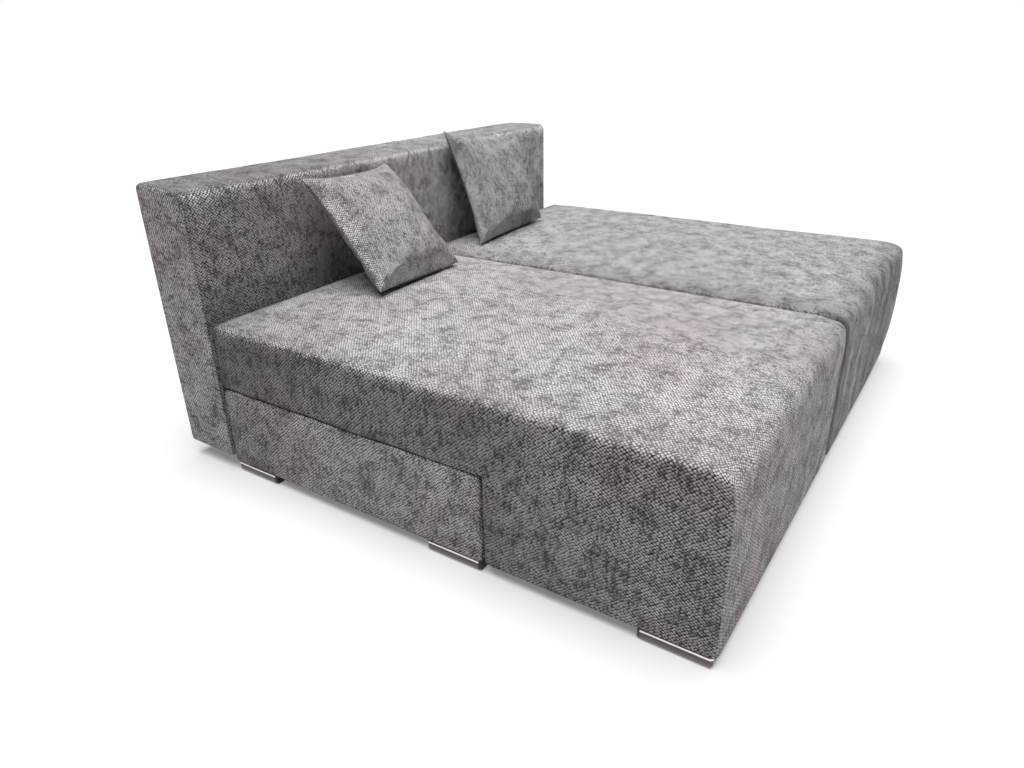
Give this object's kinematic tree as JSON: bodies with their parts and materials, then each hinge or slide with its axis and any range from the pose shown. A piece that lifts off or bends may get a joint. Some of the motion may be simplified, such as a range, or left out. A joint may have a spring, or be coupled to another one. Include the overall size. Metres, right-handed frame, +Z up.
{
  "type": "modular sofa bed",
  "caption": "Low upholstered sofa bed of long pull-out seats over bedding boxes, with one straight backrest, loose cushions and half-round metal feet.",
  "frame": {"origin": "on the floor, under the middle of the whole", "axes": "+X along the backrest towards the right seat, -Y towards the seats' fronts, +Z up"},
  "size_m": [1.908, 1.717, 0.8747],
  "materials": {
    "chenille": "grey basket-weave chenille, matt",
    "foam": "cut polyurethane foam",
    "wadding": "white polyester wadding",
    "felt": "grey needle felt",
    "spring_steel": "oiled spring wire",
    "pine": "sawn pine",
    "chipboard": "raw chipboard",
    "hardboard": "pressed hardboard",
    "dust_cloth": "black spunbond cloth",
    "webbing": "elastic webbing",
    "beech": "planed beech",
    "nylon": "natural nylon",
    "chrome": "polished chrome on steel strip",
    "black_plastic": "moulded black polypropylene",
    "zinc_steel": "zinc plated",
    "zip_tape": "dark coil zip"
  },
  "bodies": {
    "base": {"left_base_pad": "chenille", "left_base_side_panels": "chipboard", "left_base_rear_panel": "chipboard", "left_base_front_panel": "chipboard", "left_base_floor": "hardboard", "right_base_pad": "chenille", "right_base_side_panels": "chipboard", "right_base_rear_panel": "chipboard", "right_base_front_panel": "chipboard", "right_base_floor": "hardboard", "floor_battens": "pine", "guide_rails": "beech", "rail_glides": "nylon", "rail_stops": "beech", "base_feet": "chrome", "base_foot_cores": "black_plastic", "backrest_cover": "chenille", "backrest_foam": "foam", "backrest_frame": "pine", "backrest_webbing": "webbing", "backrest_rear_board": "hardboard", "backrest_bolts": "zinc_steel", "module_spacers": "beech", "module_bolts": "zinc_steel", "bolt_nuts": "zinc_steel"},
    "left_seat": {"left_seat_cover": "chenille", "left_seat_foam": "foam", "left_slab_wadding": "wadding", "left_block_wadding": "wadding", "left_seat_felt": "felt", "left_seat_springs": "spring_steel", "left_seat_frame": "pine", "left_block_box": "chipboard", "left_dust_cover": "dust_cloth", "left_seat_skids": "beech", "left_seat_glides": "nylon", "left_seat_stops": "beech", "left_front_feet": "chrome", "left_front_foot_cores": "black_plastic"},
    "left_cushion": {"left_cushion_cover": "chenille", "left_cushion_filling": "wadding", "left_cushion_zip": "zip_tape"},
    "right_seat": {"right_seat_cover": "chenille", "right_seat_foam": "foam", "right_slab_wadding": "wadding", "right_block_wadding": "wadding", "right_seat_felt": "felt", "right_seat_springs": "spring_steel", "right_seat_frame": "pine", "right_block_box": "chipboard", "right_dust_cover": "dust_cloth", "right_seat_skids": "beech", "right_seat_glides": "nylon", "right_seat_stops": "beech", "right_front_feet": "chrome", "right_front_foot_cores": "black_plastic"},
    "right_cushion": {"right_cushion_cover": "chenille", "right_cushion_filling": "wadding", "right_cushion_zip": "zip_tape"}
  },
  "joints": [
    {"name": "left_seat_slide", "type": "slide", "parent": "base", "child": "left_seat", "axis": [0, -1, 0], "range_m": [0, 0.5]},
    {"name": "left_cushion_lift", "type": "slide", "parent": "left_seat", "child": "left_cushion", "axis": [0, -0.6, 0.8], "range_m": [0, 0.35]},
    {"name": "right_seat_slide", "type": "slide", "parent": "base", "child": "right_seat", "axis": [0, -1, 0], "range_m": [0, 0.5]},
    {"name": "right_cushion_lift", "type": "slide", "parent": "right_seat", "child": "right_cushion", "axis": [0, -0.6, 0.8], "range_m": [0, 0.35]}
  ]
}
